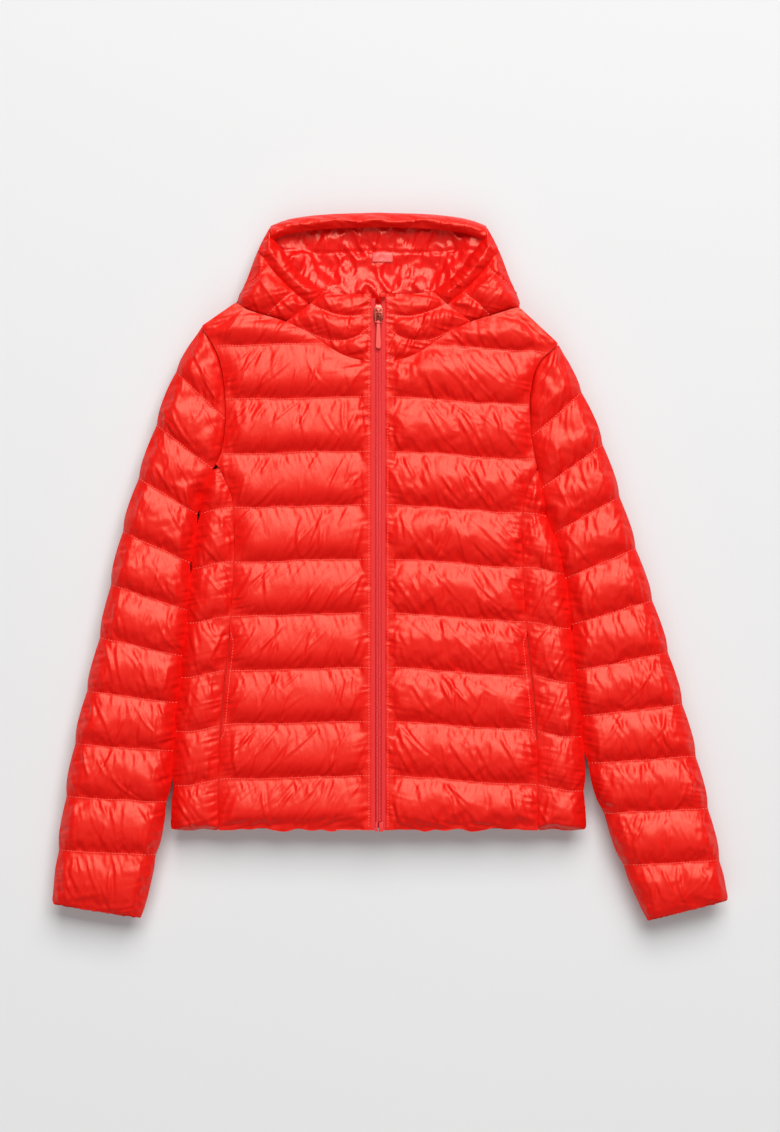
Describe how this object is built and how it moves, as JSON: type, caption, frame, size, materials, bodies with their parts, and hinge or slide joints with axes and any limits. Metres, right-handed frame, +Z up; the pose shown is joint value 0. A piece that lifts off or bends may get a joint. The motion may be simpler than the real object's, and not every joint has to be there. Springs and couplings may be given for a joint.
{
  "type": "ski jacket",
  "caption": "Hooded quilted jacket lying flat on its back, zipped shut, with long sleeves, side hand pockets and a padded face rim.",
  "frame": {"origin": "on the underside of the back panel, in the middle of the body, where the jacket rests on a flat surface", "axes": "+X toward the wearer's left, +Y toward the hood, +Z up out of the front"},
  "size_m": [0.7558, 0.8004, 0.0461],
  "materials": {
    "shell_nylon": "smooth satin-faced quilted nylon",
    "lining_nylon": "thin glossy nylon taffeta",
    "wadding": "loose white polyester wadding",
    "zip_tape": "woven polyester zip tape",
    "zip_plastic": "dyed nylon coil and moulded ends",
    "slider_metal": "tinted die-cast metal",
    "puller_rubber": "soft moulded puller",
    "label_satin": "blank woven label"
  },
  "bodies": {
    "torso": {"back_lining": "lining_nylon", "back_panel": "shell_nylon", "back_wadding": "wadding", "front_lining_left": "lining_nylon", "front_lining_right": "lining_nylon", "front_panel_left": "shell_nylon", "front_panel_right": "shell_nylon", "front_wadding_left": "wadding", "front_wadding_right": "wadding", "hanger_loop": "zip_tape", "hood_base_left": "shell_nylon", "hood_base_right": "shell_nylon", "neck_band": "shell_nylon", "pocket_bag_left": "lining_nylon", "pocket_bag_right": "lining_nylon", "pocket_cover_left": "lining_nylon", "pocket_cover_right": "lining_nylon", "side_panel_left": "shell_nylon", "side_panel_right": "shell_nylon"},
    "front_right": {"collar_right": "shell_nylon", "front_edge_right": "shell_nylon", "front_edge_wadding_right": "wadding", "front_facing_right": "lining_nylon", "zip_chain_right": "zip_plastic", "zip_pin": "zip_plastic", "zip_tape_right": "zip_tape"},
    "front_left": {"chin_guard": "shell_nylon", "collar_left": "shell_nylon", "front_edge_left": "shell_nylon", "front_edge_wadding_left": "wadding", "front_facing_left": "lining_nylon", "zip_box": "zip_plastic", "zip_chain_left": "zip_plastic", "zip_tape_left": "zip_tape"},
    "slider": {"zip_slider": "slider_metal"},
    "pull_ring": {"pull_ring": "slider_metal"},
    "puller": {"zip_puller": "puller_rubber"},
    "hood": {"hood_back": "shell_nylon", "hood_crown": "shell_nylon", "hood_label": "label_satin", "hood_lining": "lining_nylon", "hood_rim_left": "shell_nylon", "hood_rim_right": "shell_nylon", "hood_side_left": "shell_nylon", "hood_side_right": "shell_nylon", "hood_wadding": "wadding"},
    "sleeve_right": {"cuff_right": "shell_nylon", "sleeve_top_lining_right": "lining_nylon", "sleeve_top_right": "shell_nylon", "sleeve_top_wadding_right": "wadding", "sleeve_under_lining_right": "lining_nylon", "sleeve_under_right": "shell_nylon", "sleeve_under_wadding_right": "wadding"},
    "sleeve_left": {"cuff_left": "shell_nylon", "sleeve_top_left": "shell_nylon", "sleeve_top_lining_left": "lining_nylon", "sleeve_top_wadding_left": "wadding", "sleeve_under_left": "shell_nylon", "sleeve_under_lining_left": "lining_nylon", "sleeve_under_wadding_left": "wadding"}
  },
  "joints": [
    {"name": "front_right_fold", "type": "hinge", "parent": "torso", "child": "front_right", "pos_m": [-0.0655, 0.00375, 0.0464], "axis": [-0.0751, -0.9972, 0], "range_deg": [0, 150]},
    {"name": "front_left_fold", "type": "hinge", "parent": "torso", "child": "front_left", "pos_m": [0.0655, 0.00375, 0.0464], "axis": [-0.0751, 0.9972, 0], "range_deg": [0, 150]},
    {"name": "zip_slide", "type": "slide", "parent": "front_left", "child": "slider", "axis": [0, -1, 0], "range_m": [0, 0.5575]},
    {"name": "pull_ring_swing", "type": "hinge", "parent": "slider", "child": "pull_ring", "pos_m": [0, 0.2805, 0.04295], "axis": [-1, 0, 0], "range_deg": [0, 120]},
    {"name": "puller_swing", "type": "hinge", "parent": "pull_ring", "child": "puller", "pos_m": [0, 0.2696, 0.04295], "axis": [-1, 0, 0], "range_deg": [0, 60]},
    {"name": "hood_lift", "type": "hinge", "parent": "torso", "child": "hood", "pos_m": [0, 0.312, 0.0464], "axis": [1, 0, 0], "range_deg": [0, 60]},
    {"name": "sleeve_right_swing", "type": "hinge", "parent": "torso", "child": "sleeve_right", "pos_m": [-0.236, 0.172, 0.023], "axis": [0, 0, -1], "range_deg": [0, 45]},
    {"name": "sleeve_left_swing", "type": "hinge", "parent": "torso", "child": "sleeve_left", "pos_m": [0.236, 0.152, 0.023], "axis": [0, 0, 1], "range_deg": [0, 45]}
  ]
}
